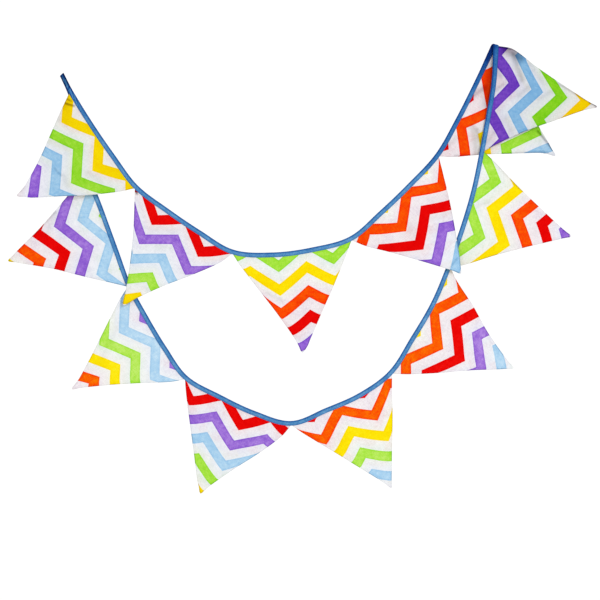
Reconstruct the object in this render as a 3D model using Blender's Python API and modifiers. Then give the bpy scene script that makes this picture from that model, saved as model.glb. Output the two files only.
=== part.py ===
"""A string of twelve triangular cotton pennants held in one folded binding tape.

It hangs from two points and doubles back at the right one. Five pennants hang from the upper run,
front side to the viewer, and seven from the lower run, which shows their back. X runs to the
viewer's right, Y away from the viewer and Z up. The origin is the top of the binding at the right
hanging point. Lengths are in millimetres until they are scaled by MM.
"""

import math
from collections import namedtuple

import bmesh
import bpy
from mathutils import Vector
from mathutils.geometry import interpolate_bezier

MM = 0.001

# Cloth
PENNANT_THICK = 1.0
LEAF_THICK = 1.0
PLAY = 0.35
BARE_PLAY = 0.15

# Binding, across its width
BINDING_WIDTH = 7.8
FOLD_THICK = 1.2
HEAD_ROOM = 0.8
MOUTH_INSET = 0.5
EDGE_ROUND = 0.7
CLOSING_LENGTH = 12.0

# Binding, along its length
HAIRPIN_RADIUS = 3.2
HAIRPIN_SHIFT = 2.0
HAIRPIN_DROP = 5.0
HAIRPIN_TILT = math.radians(-15.0)
HAIRPIN_DRIFT = 1.8
HAIRPIN_STEPS = 8
STEPS_PER_THIRD = 7
JUNCTION_GAP = 0.6

# Pennants
PENNANT_DIVISIONS = 14

NEARLY_NONE = 1e-6

UPPER_SIDE = 1
LOWER_SIDE = -1

VIEWER = Vector((0.0, -1.0, 0.0))

# One row a pennant, in order along the binding.
# x, y, z: where the pennant starts on the binding's middle line.
# sag_1, sag_2: how far the binding bows towards the pennant, a third and two thirds along.
# tip_x, tip_y, tip_z: the pennant's free corner.
# lead_1, lead_2: how far the edge from the start bulges, a third and two thirds of the way down.
# trail_1, trail_2: the same for the edge from the end.
Pennant = namedtuple(
    "Pennant",
    "name x y z sag_1 sag_2 tip_x tip_y tip_z lead_1 lead_2 trail_1 trail_2",
)
UPPER = [
    Pennant("pennant_01", -718, -4.0, -82, 3.0, 3.5, -809, -11, -258, -2.0, -6.0, 6.5, 7.0),
    Pennant("pennant_02", -607, -5.0, -244, 3.5, 4.5, -629, -3, -444, -4.0, -4.0, 4.0, -1.0),
    Pennant("pennant_03", -442, -5.0, -354, 12.5, 12.0, -324, -11, -524, 0.0, -4.0, 3.5, 3.0),
    Pennant("pennant_04", -242, -4.0, -331, 4.0, 4.0, -56, -6, -388, 0.0, -2.0, 3.0, 4.0),
    Pennant("pennant_05", -94, 0.5, -190, 4.0, 2.5, 106, 10, -190, -2.0, -6.0, 0.0, 0.0),
]
LOWER = [
    Pennant("pennant_06", 2, -3.2, -5, 6.0, 4.0, 175, -12, -108, 11.0, 3.5, -6.0, -5.0),
    Pennant("pennant_07", -18, -2.5, -182, 5.5, 4.5, 131, 4, -327, -2.0, -3.0, -1.0, -2.0),
    Pennant("pennant_08", -75, 3.0, -379, 5.5, 5.0, 34, 12, -551, -3.5, -5.0, 2.5, 1.0),
    Pennant("pennant_09", -173, 5.0, -559, 10.0, 7.0, -173, 2, -754, 0.5, 0.0, 0.0, -1.0),
    Pennant("pennant_10", -343, 5.0, -645, 9.0, 6.0, -498, 11, -764, 4.5, 0.0, 2.5, 2.0),
    Pennant("pennant_11", -522, 5.0, -568, 4.5, 3.0, -717, 3, -586, -1.5, -1.5, 2.5, -2.5),
    Pennant("pennant_12", -620, 6.0, -412, 0.0, 0.0, -824, 12, -369, -1.0, -3.0, 1.0, -1.0),
]

# The binding beyond the pennants. Both of its ends hang from the left hanging point.
Station = namedtuple("Station", "name x y z")
UPPER_START = [Station("upper_end", -733, -2.0, -52)]
LOWER_FINISH = [
    Station("last_corner", -688, 6.0, -223),
    Station("behind_first_pennant", -701, 6.0, -160),
    Station("behind_first_corner", -712, 5.0, -105),
    Station("under_upper_run", -720, 3.8, -81),
    Station("lower_end", -732, 3.4, -54),
]

MATERIALS = {
    "printed_cotton": {"colour": (0.86, 0.86, 0.88, 1.0), "roughness": 0.85, "metallic": 0.0},
    "blue_cotton": {"colour": (0.07, 0.24, 0.56, 1.0), "roughness": 0.8, "metallic": 0.0},
}

# A place on the binding's middle line: the point, the way on, and the way across to the pennants.
Section = namedtuple("Section", "point along across out")


def start_scene():
    for old in list(bpy.data.objects):
        bpy.data.objects.remove(old)
    collection = bpy.data.collections.new("fabric_bunting")
    bpy.context.scene.collection.children.link(collection)
    return collection


def make_materials():
    made = {}
    for name, finish in MATERIALS.items():
        material = bpy.data.materials.new(name)
        material.use_nodes = True
        shader = material.node_tree.nodes["Principled BSDF"]
        shader.inputs["Base Color"].default_value = finish["colour"]
        shader.inputs["Roughness"].default_value = finish["roughness"]
        shader.inputs["Metallic"].default_value = finish["metallic"]
        made[name] = material
    return made


def place(row):
    return Vector((row.x, row.y, row.z))


def across(along, side):
    """The direction from the binding into its pennants, in the cloth's plane."""
    return (VIEWER.cross(along) * -side).normalized()


def hairpin():
    """The half turn over the right hanging point, from the back run to the front run."""
    ridge = Vector((math.cos(HAIRPIN_TILT), 0.0, math.sin(HAIRPIN_TILT)))
    up = VIEWER.cross(ridge)
    centre = Vector((HAIRPIN_SHIFT, 0.0, -HAIRPIN_DROP))
    sections = []
    for step in range(HAIRPIN_STEPS + 1):
        share = step / HAIRPIN_STEPS
        turn = math.pi * share
        out = up * math.sin(turn) - VIEWER * math.cos(turn)
        along = up * math.cos(turn) + VIEWER * math.sin(turn)
        along = (along * HAIRPIN_RADIUS * math.pi + ridge * HAIRPIN_DRIFT).normalized()
        point = centre + out * HAIRPIN_RADIUS + ridge * HAIRPIN_DRIFT * (share - 0.5)
        sections.append(Section(point, along, out.cross(along).normalized(), out))
    return sections


def corners_of(rows, last):
    """The start and end corner of each pennant's top edge."""
    starts = [place(row) for row in rows]
    return list(zip(starts, starts[1:] + [last]))


def stations(rows, last, side):
    """Each pennant's start, then the bowed points at one and two thirds of its top edge."""
    points = []
    for row, (start, end) in zip(rows, corners_of(rows, last)):
        down = across(end - start, side)
        points.append(start)
        points.append(start.lerp(end, 1 / 3) + down * row.sag_1)
        points.append(start.lerp(end, 2 / 3) + down * row.sag_2)
    return points


def smooth_run(points, side, entry=None, leave=None):
    """A smooth line through the points, as sections."""
    headings = []
    for before, after in zip([points[0]] + points[:-1], points[1:] + [points[-1]]):
        headings.append((after - before).normalized())
    headings[0] = entry or headings[0]
    headings[-1] = leave or headings[-1]
    line = []
    for index in range(len(points) - 1):
        near, far = points[index], points[index + 1]
        reach = (far - near).length / 3
        line += interpolate_bezier(
            near,
            near + headings[index] * reach,
            far - headings[index + 1] * reach,
            far,
            STEPS_PER_THIRD + 1,
        )[:-1]
    line.append(points[-1])
    sections = []
    for index, point in enumerate(line):
        before = line[max(index - 1, 0)]
        after = line[min(index + 1, len(line) - 1)]
        along = (after - before).normalized()
        if index == 0 and entry:
            along = entry
        if index == len(line) - 1 and leave:
            along = leave
        down = across(along, side)
        sections.append(Section(point, along, down, along.cross(down)))
    return sections


def make_route():
    """The whole binding as sections, and for each pennant the first and last that it spans."""
    turn = hairpin()
    upper_points = [place(row) for row in UPPER_START]
    upper_points += stations(UPPER, turn[0].point, UPPER_SIDE)
    upper_points.append(turn[0].point)
    lower_rows = [LOWER[0]._replace(x=turn[-1].point.x, y=turn[-1].point.y, z=turn[-1].point.z)]
    lower_rows += LOWER[1:]
    finish = [place(row) for row in LOWER_FINISH]
    lower_points = stations(lower_rows, finish[0], LOWER_SIDE) + finish
    upper = smooth_run(upper_points, UPPER_SIDE, leave=turn[0].along)
    lower = smooth_run(lower_points, LOWER_SIDE, entry=turn[-1].along)
    route = upper[:-1] + turn + lower[1:]
    span = 3 * STEPS_PER_THIRD
    first_upper = len(UPPER_START) * STEPS_PER_THIRD
    first_lower = len(upper) - 1 + HAIRPIN_STEPS
    spans = {}
    for index, row in enumerate(UPPER):
        spans[row.name] = (first_upper + index * span, first_upper + (index + 1) * span)
    for index, row in enumerate(LOWER):
        spans[row.name] = (first_lower + index * span, first_lower + (index + 1) * span)
    return route, spans


def distances(route):
    """How far along the binding each section is."""
    run = [0.0]
    for before, after in zip(route, route[1:]):
        run.append(run[-1] + (after.point - before.point).length)
    return run


def section_at(route, run, distance):
    """The section at a distance along the binding."""
    index = max(i for i, reached in enumerate(run[:-1]) if reached <= distance or i == 0)
    share = (distance - run[index]) / (run[index + 1] - run[index])
    near, far = route[index], route[index + 1]
    return Section(*(before.lerp(after, share) for before, after in zip(near, far)))


def binding_outline(half_gap):
    """The folded strip seen along its length, as (across, out) pairs round its edge."""
    top = -BINDING_WIDTH / 2
    mouth = BINDING_WIDTH / 2
    inside = top + FOLD_THICK
    outer = half_gap + LEAF_THICK
    half = [
        (top, outer - EDGE_ROUND),
        (top + EDGE_ROUND, outer),
        (mouth, outer),
        (mouth, half_gap),
        (inside, half_gap),
    ]
    return half + [(wide, -thick) for wide, thick in reversed(half)]


def sweep(name, rings):
    """A closed solid through rings that have the same number of points."""
    bm = bmesh.new()
    ring = [bm.verts.new(point) for point in rings[0]]
    edges = [bm.edges.new(pair) for pair in zip(ring, ring[1:] + ring[:1])]
    bmesh.ops.contextual_create(bm, geom=edges)
    for points in rings[1:]:
        grown = bmesh.ops.extrude_edge_only(bm, edges=edges)["geom"]
        fresh = {item for item in grown if isinstance(item, bmesh.types.BMVert)}
        following = []
        for vert in ring:
            following += [e.other_vert(vert) for e in vert.link_edges if e.other_vert(vert) in fresh]
        for vert, point in zip(following, points):
            vert.co = point
        ring = following
        edges = [bm.edges.get(pair) for pair in zip(ring, ring[1:] + ring[:1])]
    bmesh.ops.contextual_create(bm, geom=edges)
    bmesh.ops.recalc_face_normals(bm, faces=bm.faces[:])
    mesh = bpy.data.meshes.new(name)
    bm.to_mesh(mesh)
    bm.free()
    return mesh


def half_gap_at(distance, first, last):
    """Half the space between the leaves: they close up where the binding is bare."""
    bare = max(first - distance, distance - last, 0.0)
    share = min(bare / CLOSING_LENGTH, 1.0)
    held = PENNANT_THICK / 2 + PLAY
    return held + (BARE_PLAY - held) * share


def make_binding(route, run, spans):
    first = run[spans[UPPER[0].name][0]]
    last = run[spans[LOWER[-1].name][1]]
    rings = []
    for section, distance in zip(route, run):
        outline = binding_outline(half_gap_at(distance, first, last))
        rings.append(
            [(section.point + section.across * a + section.out * b) * MM for a, b in outline]
        )
    return sweep("binding", rings)


def bulge(share, one, two):
    """A smooth bow that is one at a third of the way, two at two thirds, and nothing at the ends."""
    early = 13.5 * share * (share - 2 / 3) * (share - 1)
    late = -13.5 * share * (share - 1 / 3) * (share - 1)
    return one * early + two * late


def triangle_lattice(divisions):
    """A flat triangle cut into even small ones, with (sideways, down) for each point."""
    bm = bmesh.new()
    corners = bmesh.ops.create_circle(bm, segments=3, radius=1.0, cap_ends=True)["verts"]
    corners = [vert.co.copy() for vert in corners]
    bmesh.ops.subdivide_edges(bm, edges=bm.edges[:], cuts=divisions - 1, use_grid_fill=True)
    shares = {}
    for vert in bm.verts:
        start, end, tip = ((1 + 2 * vert.co.dot(corner)) / 3 for corner in corners)
        base = start + end
        shares[vert] = (end / base if base > NEARLY_NONE else 0.5, tip)
    return bm, shares


def add_tongue(bm, shares, top_edge, depth):
    """The strip along a pennant's top that the binding holds."""
    top = [e for e in bm.edges if all(shares[vert][1] < NEARLY_NONE for vert in e.verts)]
    grown = bmesh.ops.extrude_edge_only(bm, edges=top)["geom"]
    for vert in [item for item in grown if isinstance(item, bmesh.types.BMVert)]:
        below = next(e.other_vert(vert) for e in vert.link_edges if e.other_vert(vert) in shares)
        held = top_edge(shares[below][0])
        vert.co = (held.point + held.across * depth) * MM


def make_pennant(row, side, route, run, span):
    first = run[span[0]] + JUNCTION_GAP
    last = run[span[1]] - JUNCTION_GAP
    mouth = BINDING_WIDTH / 2 - MOUTH_INSET
    seat = FOLD_THICK + HEAD_ROOM - BINDING_WIDTH / 2
    tip = Vector((row.tip_x, row.tip_y, row.tip_z))

    def top_edge(sideways):
        return section_at(route, run, first + (last - first) * sideways)

    start, end = (held.point + held.across * mouth for held in map(top_edge, (0.0, 1.0)))
    start_out = across(tip - start, side)
    end_out = -across(tip - end, side)
    bm, shares = triangle_lattice(PENNANT_DIVISIONS)
    for vert, (sideways, down) in shares.items():
        held = top_edge(sideways)
        top = held.point + held.across * mouth
        point = top.lerp(tip, down)
        point += start_out * bulge(down, row.lead_1, row.lead_2) * (1 - sideways)
        point += end_out * bulge(down, row.trail_1, row.trail_2) * sideways
        point.y = top.y + (tip.y - top.y) * down**2
        vert.co = point * MM
    add_tongue(bm, shares, top_edge, seat)
    bmesh.ops.recalc_face_normals(bm, faces=bm.faces[:])
    mesh = bpy.data.meshes.new(row.name)
    bm.to_mesh(mesh)
    bm.free()
    return mesh


def add(collection, mesh, material):
    piece = bpy.data.objects.new(mesh.name, mesh)
    mesh.materials.append(material)
    collection.objects.link(piece)
    return piece


def main():
    collection = start_scene()
    materials = make_materials()
    route, spans = make_route()
    run = distances(route)
    add(collection, make_binding(route, run, spans), materials["blue_cotton"])
    for rows, side in ((UPPER, UPPER_SIDE), (LOWER, LOWER_SIDE)):
        for row in rows:
            mesh = make_pennant(row, side, route, run, spans[row.name])
            pennant = add(collection, mesh, materials["printed_cotton"])
            doubled = pennant.modifiers.new("doubled_cloth", "SOLIDIFY")
            doubled.thickness = PENNANT_THICK * MM
            doubled.offset = 0.0


main()
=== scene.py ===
"""The looks of a hanging string of twelve cotton pennants, as a Blender add-on that is run as a script.

Each pennant is two layers of printed cotton, sewn, turned and held in a folded blue binding. The
string hangs from two points and doubles back at the right one. Lengths are in millimetres until they
are scaled by MM, except in the settings, which are in metres. X runs to the viewer's right, Y away
from the viewer and Z up. A pennant's own flat place is (aside, below): millimetres sideways from its
middle, and millimetres down from the binding.
"""

import math
from bisect import bisect_right
from collections import namedtuple

import bmesh
import bpy
from bpy.props import FloatProperty, FloatVectorProperty, PointerProperty
from mathutils import Matrix, Vector, noise
from mathutils.geometry import interpolate_bezier


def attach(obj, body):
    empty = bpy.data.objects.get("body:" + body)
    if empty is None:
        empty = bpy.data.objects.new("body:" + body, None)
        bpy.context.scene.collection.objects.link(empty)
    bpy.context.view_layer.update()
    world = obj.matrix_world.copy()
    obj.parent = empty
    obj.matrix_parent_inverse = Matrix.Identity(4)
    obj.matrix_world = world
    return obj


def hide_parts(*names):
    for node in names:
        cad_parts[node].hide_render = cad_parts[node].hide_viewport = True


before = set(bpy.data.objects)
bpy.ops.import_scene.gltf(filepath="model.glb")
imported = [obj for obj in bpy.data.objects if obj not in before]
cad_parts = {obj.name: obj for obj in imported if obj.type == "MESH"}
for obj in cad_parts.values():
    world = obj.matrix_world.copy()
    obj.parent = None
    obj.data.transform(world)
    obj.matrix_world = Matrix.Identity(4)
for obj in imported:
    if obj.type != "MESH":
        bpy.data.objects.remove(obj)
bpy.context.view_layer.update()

bl_info = {
    "name": "Cotton Bunting",
    "version": (1, 0, 0),
    "blender": (4, 5, 0),
    "location": "3D View > Sidebar > Bunting",
    "description": "Sews, binds and lights a hanging string of cotton pennants",
    "category": "Add Mesh",
}

MM = 0.001
DECIMETRE = 100.0

# Pennants
PENNANT_WIDE = 200.0
PENNANT_DEEP = 172.0
PENNANT_SIDE = math.hypot(PENNANT_WIDE / 2, PENNANT_DEEP)
PENNANT_DIVISIONS = 88
RIM_CUTS = 3
TONGUE_CUTS = 2
BODY_HALF = 0.34
RIM_HALF = 0.5
SEAM_EASE = 2.2
HELD_EASE = 8.0
TIP_BLUNT = 1.4
TIP_BLUNT_FROM = 0.93
TIP_CUT_FROM = 0.64

# The slow swells and shorter ripples of a pennant's cloth, and the puckers along its seams
SWELL_WIDE = 62.0
SWELL_LONG = 74.0
SWELL_APART = 3.7
RIPPLE_WIDE = 23.0
RIPPLE_LONG = 48.0
RIPPLE_APART = 5.3
RIPPLE_START = 40.0
RIPPLE_SHARE = 0.35
SEAM_PUCKER = 3.1
SEAM_PUCKER_REACH = 9.0
SEAM_PUCKER_DRIFT = 2.2
SEAM_PUCKER_DRIFT_LONG = 19.0
SEAM_PUCKER_DRIFT_WIDE = 90.0
FLAT_BY_BINDING = 22.0

# Binding, across its width
BINDING_WIDTH = 8.1
HEAD_ROOM = 2.0
MOUTH_INSET = 0.5
TONGUE_DEEP = BINDING_WIDTH - MOUTH_INSET - HEAD_ROOM
LEAF_THICK = 0.85
HELD_GAP = 0.62
BARE_GAP = 0.12
LIP_ROUND = 0.4
FACE_CROWN = 0.1
ARC_STEPS = 5
FACE_STEPS = 9
STITCH_INSET = 1.6
STITCH_DIP = 0.16
STITCH_DIP_WIDTH = 0.55
CLOSING_LENGTH = 12.0

# Binding, along its length
HAIRPIN_RADIUS = 2.8
HAIRPIN_SHIFT = 3.1
HAIRPIN_DROP = 4.5
HAIRPIN_TILT = math.radians(-15.0)
HAIRPIN_DRIFT = 4.0
HAIRPIN_LEAN = math.radians(10.0)
HAIRPIN_STEPS = 16
CORNER_ON_TURN = 3.0
STEPS_PER_THIRD = 24
JUNCTION_GAP = 0.6
SPREAD = 0.15
SPREAD_LENGTH = 55.0
PUCKER_LENGTH = 9.0
PUCKER_DRIFT_LENGTH = 23.0
PUCKER_DRIFT = 3.0
PUCKER_ROW = 3.1
PUCKER_DEPTH = 0.09

# The end that is turned back and sewn down
END_SLANT = 0.3
END_SLANT_LENGTH = 12.0
TURNED_LENGTH = 25.0
TURNED_HALF = 0.42
TURNED_WIDTH = 7.6
TURNED_SLANT = 0.65
TURNED_ROUND = 1.2
TURNED_UNDER = 2.0
TURNED_STEPS = 22

# The print's and the threads' unevenness, in metres and in waves to a metre
PRINT_WOBBLE = 0.0005
PRINT_WOBBLE_SCALE = 260.0
THREAD_WOBBLE = 0.0003
THREAD_WOBBLE_SCALE = 420.0
INK_BLUR = 0.0002
SEAM_BLUR = 0.0012
# painted shade along the free edges: where it starts and where it is full, in metres
EDGE_SHADE_REACH = (0.0021, 0.0004)
SLUB_FINE = 820.0
SLUB_LONG = 90.0
RIB_SLANT = -0.25
RIB_SCALE = 1650.0

# All cloth
SHEEN_ROUGHNESS = 0.6
SHINE = 0.03

# Stitches
STITCH_ROUND = 6
STITCH_ALONG = 4
STITCH_RISE = 0.05
STITCH_WIDE = 0.22
STITCH_HIGH = 0.16
STITCH_SHARE = 0.42

# Studio
PHOTO_SIDE = 600
MM_PER_PIXEL = 1.7
HANGING_PIXEL = (493.0, 44.0)
CAMERA_DISTANCE = 6.0
CAMERA_REACH = 100.0
SENSOR_WIDTH = 36.0
WHITE_BEHIND = 1.05
FLOOR_RADIUS = 11.0
FLOOR_BELOW = 1.9
FLOOR_SEGMENTS = 96

# Soft lamps, in metres from the middle of the bunting.
# power: the studio setting that holds it. size: the side of the lamp's square.
Lamp = namedtuple("Lamp", "name power x y z size")
LAMPS = [
    Lamp("key_lamp", "key", 1.9, -3.4, 1.6, 1.6),
    Lamp("fill_lamp", "fill", -3.0, -3.0, -0.4, 2.2),
    Lamp("back_lamp", "back", -1.2, 3.4, 1.6, 2.2),
]

UPPER_SIDE = 1
LOWER_SIDE = -1
NEAR_LAYER = 1.0
FAR_LAYER = -1.0
NEARLY_NONE = 1e-6

VIEWER = Vector((0.0, -1.0, 0.0))

# One row a pennant, in order along the binding.
# x, y, z: where the pennant starts on the binding's middle line.
# sag_1, sag_2: how far the binding bows towards the pennant, a third and two thirds along.
# tip_x, tip_y, tip_z: the pennant's free corner.
Pennant = namedtuple("Pennant", "name x y z sag_1 sag_2 tip_x tip_y tip_z")
UPPER = [
    Pennant("pennant_01", -717.5, -4.0, -81.7, 3.1, 3.0, -808.6, -11, -258.8),
    Pennant("pennant_02", -606.5, -5.0, -243.5, 4.1, 4.4, -628.7, -3, -444.3),
    Pennant("pennant_03", -441.9, -5.0, -353.7, 12.3, 11.3, -324.2, -11, -524.4),
    Pennant("pennant_04", -242.0, -4.0, -331.1, 4.2, 4.2, -54.8, -6, -390.2),
    Pennant("pennant_05", -94.6, 0.5, -189.5, 3.3, 2.6, 106.6, 10, -189.2),
]
LOWER = [
    Pennant("pennant_06", 5.0, -2.8, -5.0, 4.4, 2.8, 176.0, -12, -107.6),
    Pennant("pennant_07", -18.8, -2.5, -181.9, 5.0, 4.4, 133.4, 4, -326.8),
    Pennant("pennant_08", -75.1, 3.0, -379.0, 6.9, 5.0, 36.0, 12, -551.5),
    Pennant("pennant_09", -173.5, 5.0, -558.6, 10.5, 7.4, -172.5, 2, -754.5),
    Pennant("pennant_10", -343.0, 5.0, -645.0, 9.2, 7.1, -497.8, 11, -764.9),
    Pennant("pennant_11", -521.9, 5.0, -567.9, 4.7, 3.9, -716.3, 3, -586.8),
    Pennant("pennant_12", -619.0, 6.0, -411.5, 0.2, 0.1, -825.6, 12, -368.6),
]

# How far a pennant's free edges stand out from straight lines, at an odd eighth of the way down each.
# lead is the edge from the pennant's start on the binding, and trail the one from its end.
# lead_tip and trail_tip: how far the edge stands out beside the free corner.
Edges = namedtuple(
    "Edges", "lead_1 lead_3 lead_5 lead_7 lead_tip trail_1 trail_3 trail_5 trail_7 trail_tip"
)
EDGES = {
    "pennant_01": Edges(-0.5, -3.0, -5.5, -4.4, -2.2, 3.7, 6.2, 5.2, 4.4, 2.2),
    "pennant_02": Edges(-1.8, -4.8, -4.5, -1.8, 0.2, 4.5, 3.2, -0.6, -1.1, 0.4),
    "pennant_03": Edges(0.7, -1.3, -3.3, -3.2, -1.6, 1.4, 3.1, 3.0, 3.4, 3.6),
    "pennant_04": Edges(2.3, 0.2, -0.6, -0.7, -0.3, 1.7, 4.2, 4.3, 3.0, 1.8),
    "pennant_05": Edges(1.0, -2.6, -3.7, -4.6, -2.3, 0.0, 0.1, -1.2, 0.4, 0.2),
    "pennant_06": Edges(9.0, 4.4, 1.9, 0.3, 0.2, -3.3, -6.1, -4.8, -3.1, -1.6),
    "pennant_07": Edges(0.0, -2.1, -2.3, -1.4, -0.7, 1.6, -1.1, -1.3, -0.2, -0.1),
    "pennant_08": Edges(-2.6, -2.0, -4.8, -2.6, -1.3, 2.1, 2.2, 0.2, 0.6, 0.3),
    "pennant_09": Edges(-0.1, 1.2, 0.6, 0.2, 0.1, 1.1, 0.3, -0.1, -0.5, -0.2),
    "pennant_10": Edges(5.2, 4.8, 1.0, -0.8, -0.4, 1.3, 1.7, 1.7, 2.1, 1.1),
    "pennant_11": Edges(2.2, 0.0, -1.5, -1.1, -0.6, 1.3, 0.0, -1.9, -2.4, -1.2),
    "pennant_12": Edges(-0.6, -1.4, -3.1, -0.8, -0.4, 1.5, -0.5, -1.9, 0.2, 0.1),
}

# The binding beyond the pennants. Both of its ends hang from the left hanging point.
Station = namedtuple("Station", "name x y z")
UPPER_START = [Station("upper_end", -733, -2.0, -52)]
LOWER_FINISH = [
    Station("last_corner", -688, 6.0, -223),
    Station("behind_first_pennant", -701, 6.0, -160),
    Station("behind_first_corner", -712, 5.0, -105),
    Station("under_upper_run", -720, 3.8, -81),
    Station("lower_end", -732, 3.4, -54),
]

# How each pennant's near layer was cut from the printed cotton.
# stripe: the colour of the first whole stripe below the binding.
# order: 1 where the colours go on in the printed order towards the tip, -1 where the cloth was turned.
# wide, lean, shift: cloth taken sideways for each millimetre aside, for each below, and at the middle.
# tilt, deep: cloth taken downwards for each millimetre aside, and for each below.
# start: how far down the cloth the first whole stripe starts at its highest points.
# tone: how deep the cloth's colours are painted, 1 for cloth as it was printed, more for a pennant
# painted in shade and less for one painted in more light.
# shade: painted shade over the whole pennant.
Cut = namedtuple("Cut", "stripe order wide lean shift tilt deep start tone shade")
CUTS = {
    "pennant_01": Cut("yellow", 1, 1.004, 0.118, -35.5, -0.003, 1.001, -18.1, 1.19, 0.08),
    "pennant_02": Cut("red", -1, 1.011, 0.045, -51.3, 0.000, 1.070, -23.7, 1.00, 0.03),
    "pennant_03": Cut("green", -1, 1.043, 0.078, 25.1, -0.008, 1.039, -29.6, 1.10, 0.00),
    "pennant_04": Cut("orange", -1, 1.035, -0.067, 26.5, -0.019, 0.950, -10.0, 1.07, 0.04),
    "pennant_05": Cut("orange", 1, 1.060, -0.021, -8.3, -0.011, 0.964, -5.9, 1.08, 0.09),
    "pennant_06": Cut("purple", -1, 0.918, -0.196, 27.0, 0.004, 1.030, -16.1, 1.45, 0.19),
    "pennant_07": Cut("green", -1, 1.005, -0.052, -34.7, 0.007, 0.995, -19.8, 1.02, 0.04),
    "pennant_08": Cut("orange", -1, 0.997, -0.007, -21.9, 0.002, 0.978, -8.0, 0.90, 0.02),
    "pennant_09": Cut("orange", 1, 0.968, -0.009, 36.0, 0.011, 0.971, -6.5, 0.92, 0.00),
    "pennant_10": Cut("red", -1, 1.026, -0.084, 19.5, -0.002, 1.051, -21.5, 1.00, 0.00),
    "pennant_11": Cut("light_blue", -1, 0.930, -0.065, -31.9, -0.032, 1.061, -5.6, 0.85, 0.00),
    "pennant_12": Cut("light_blue", 1, 0.980, -0.096, -27.5, 0.027, 1.133, -11.5, 1.02, 0.00),
}

# How far the cloth of a near layer has drawn out of true, as millimetres of cloth sideways (aside_) and
# downwards (below_). The places count in decimetres: _aa for aside squared, _ab for aside times below
# and _bb for below squared.
# tip: how much further down the cloth the very tip was cut.
Drift = namedtuple("Drift", "aside_aa aside_ab aside_bb below_aa below_ab below_bb tip")
DRIFTS = {
    "pennant_01": Drift(3.2, -4.3, -1.6, -0.2, 2.1, 0.2, 0.0),
    "pennant_02": Drift(-3.8, -2.9, -7.0, 0.4, 4.8, -0.2, 0.0),
    "pennant_03": Drift(1.8, -5.3, -2.2, -6.3, 2.9, -4.2, 12.0),
    "pennant_04": Drift(-1.0, -3.0, 2.7, 2.0, 4.9, 0.2, -3.0),
    "pennant_05": Drift(0.0, 0.4, -3.8, 0.8, 2.9, 2.3, 0.0),
    "pennant_06": Drift(0.0, 3.4, 4.9, -1.6, -10.5, -0.2, 0.0),
    "pennant_07": Drift(-3.0, -5.7, 0.8, -3.0, -0.5, -1.0, 12.0),
    "pennant_08": Drift(-0.9, 1.0, -2.7, -2.7, 1.3, 0.2, 0.0),
    "pennant_09": Drift(-1.1, -1.1, -1.1, -4.5, -2.1, -0.6, 6.0),
    "pennant_10": Drift(0.5, -1.0, 8.0, -3.0, -2.3, -2.1, 0.0),
    "pennant_11": Drift(-1.0, -2.0, 1.0, -2.0, -0.1, -3.2, -4.0),
    "pennant_12": Drift(-2.5, -5.2, 4.5, 3.5, 0.7, -7.8, 5.5),
}

# Where the binding has drawn in a little more of a near layer, or a little less of it.
# aside, below: the flat place in the middle of it.
# pull: how much more at the most, and below 0 how much less.
Pull = namedtuple("Pull", "pennant aside below pull")
PULLS = [
    Pull("pennant_05", 8, 6, 3.0),
    Pull("pennant_05", 52, 17, -2.5),
    Pull("pennant_08", -70, 8, 3.0),
    Pull("pennant_08", 28, 9, 1.5),
    Pull("pennant_09", -37, 7, 3.5),
    Pull("pennant_09", 58, 4, 3.0),
    Pull("pennant_12", 30, 4, -3.5),
]
PULL_REACH = 9.0

# The stripes' colours in their printed order
STRIPES = ["red", "orange", "yellow", "green", "light_blue", "purple"]

# How much further on in the printed cotton the far layer of each next pennant was cut.
FAR_ASIDE = 31.0
FAR_BELOW = 53.0
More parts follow.
